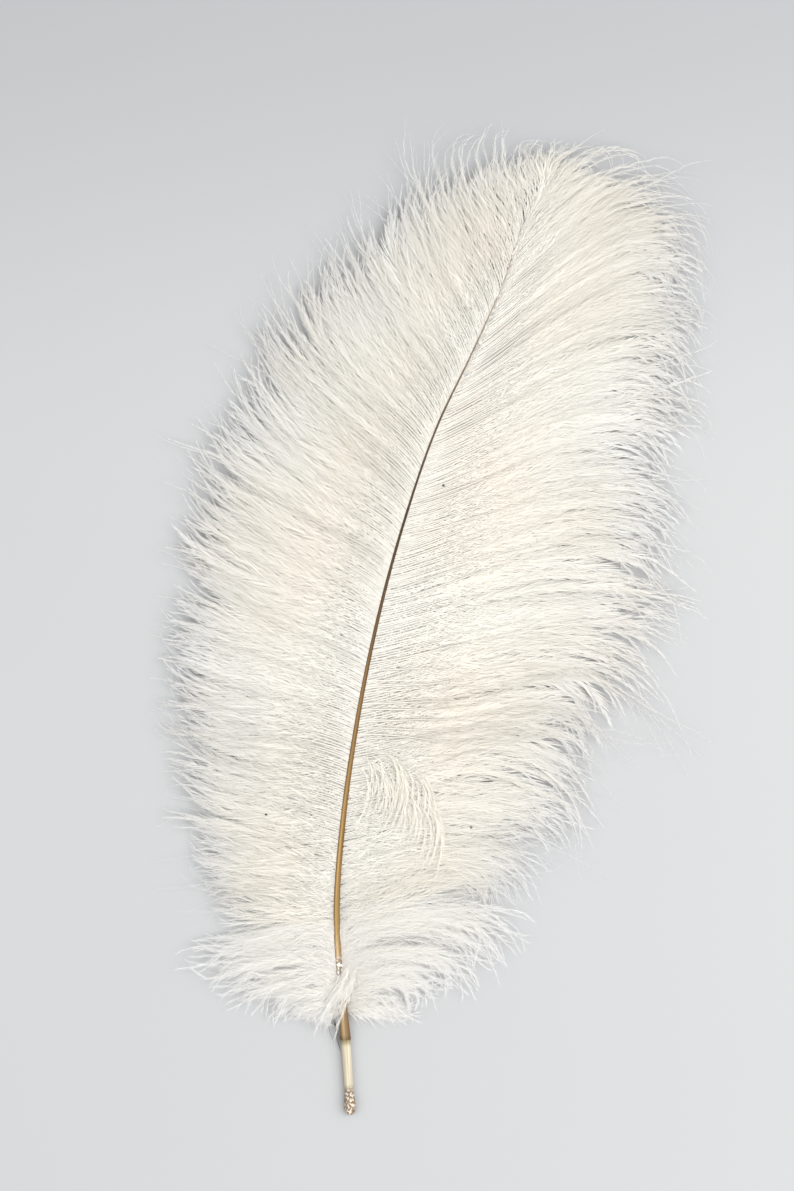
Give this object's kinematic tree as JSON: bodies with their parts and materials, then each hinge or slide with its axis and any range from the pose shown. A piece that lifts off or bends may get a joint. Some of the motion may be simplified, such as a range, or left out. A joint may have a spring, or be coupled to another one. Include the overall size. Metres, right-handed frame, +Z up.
{
  "type": "ostrich feather",
  "caption": "Long white ostrich plume lying flat, with a slender curved golden-brown shaft, wide soft vanes and a downy base.",
  "frame": {"origin": "on the surface that the feather lies on, under the middle of its outline", "axes": "+Z up from the surface, +Y towards the feather's tip, +X to the right seen from above"},
  "size_m": [0.2622, 0.4814, 0.0143],
  "materials": {
    "shaft": "smooth horn-like keratin with a soft gloss, brown towards the tip and ivory at the quill",
    "vane": "silky cream-white barbs, warmer beside the shaft and cooler at the tips",
    "down": "matte fluffy white down"
  },
  "bodies": {
    "root": {"shaft": "shaft", "vane_left": "vane", "vane_right": "vane", "down_left": "down", "down_right": "down"}
  },
  "joints": []
}
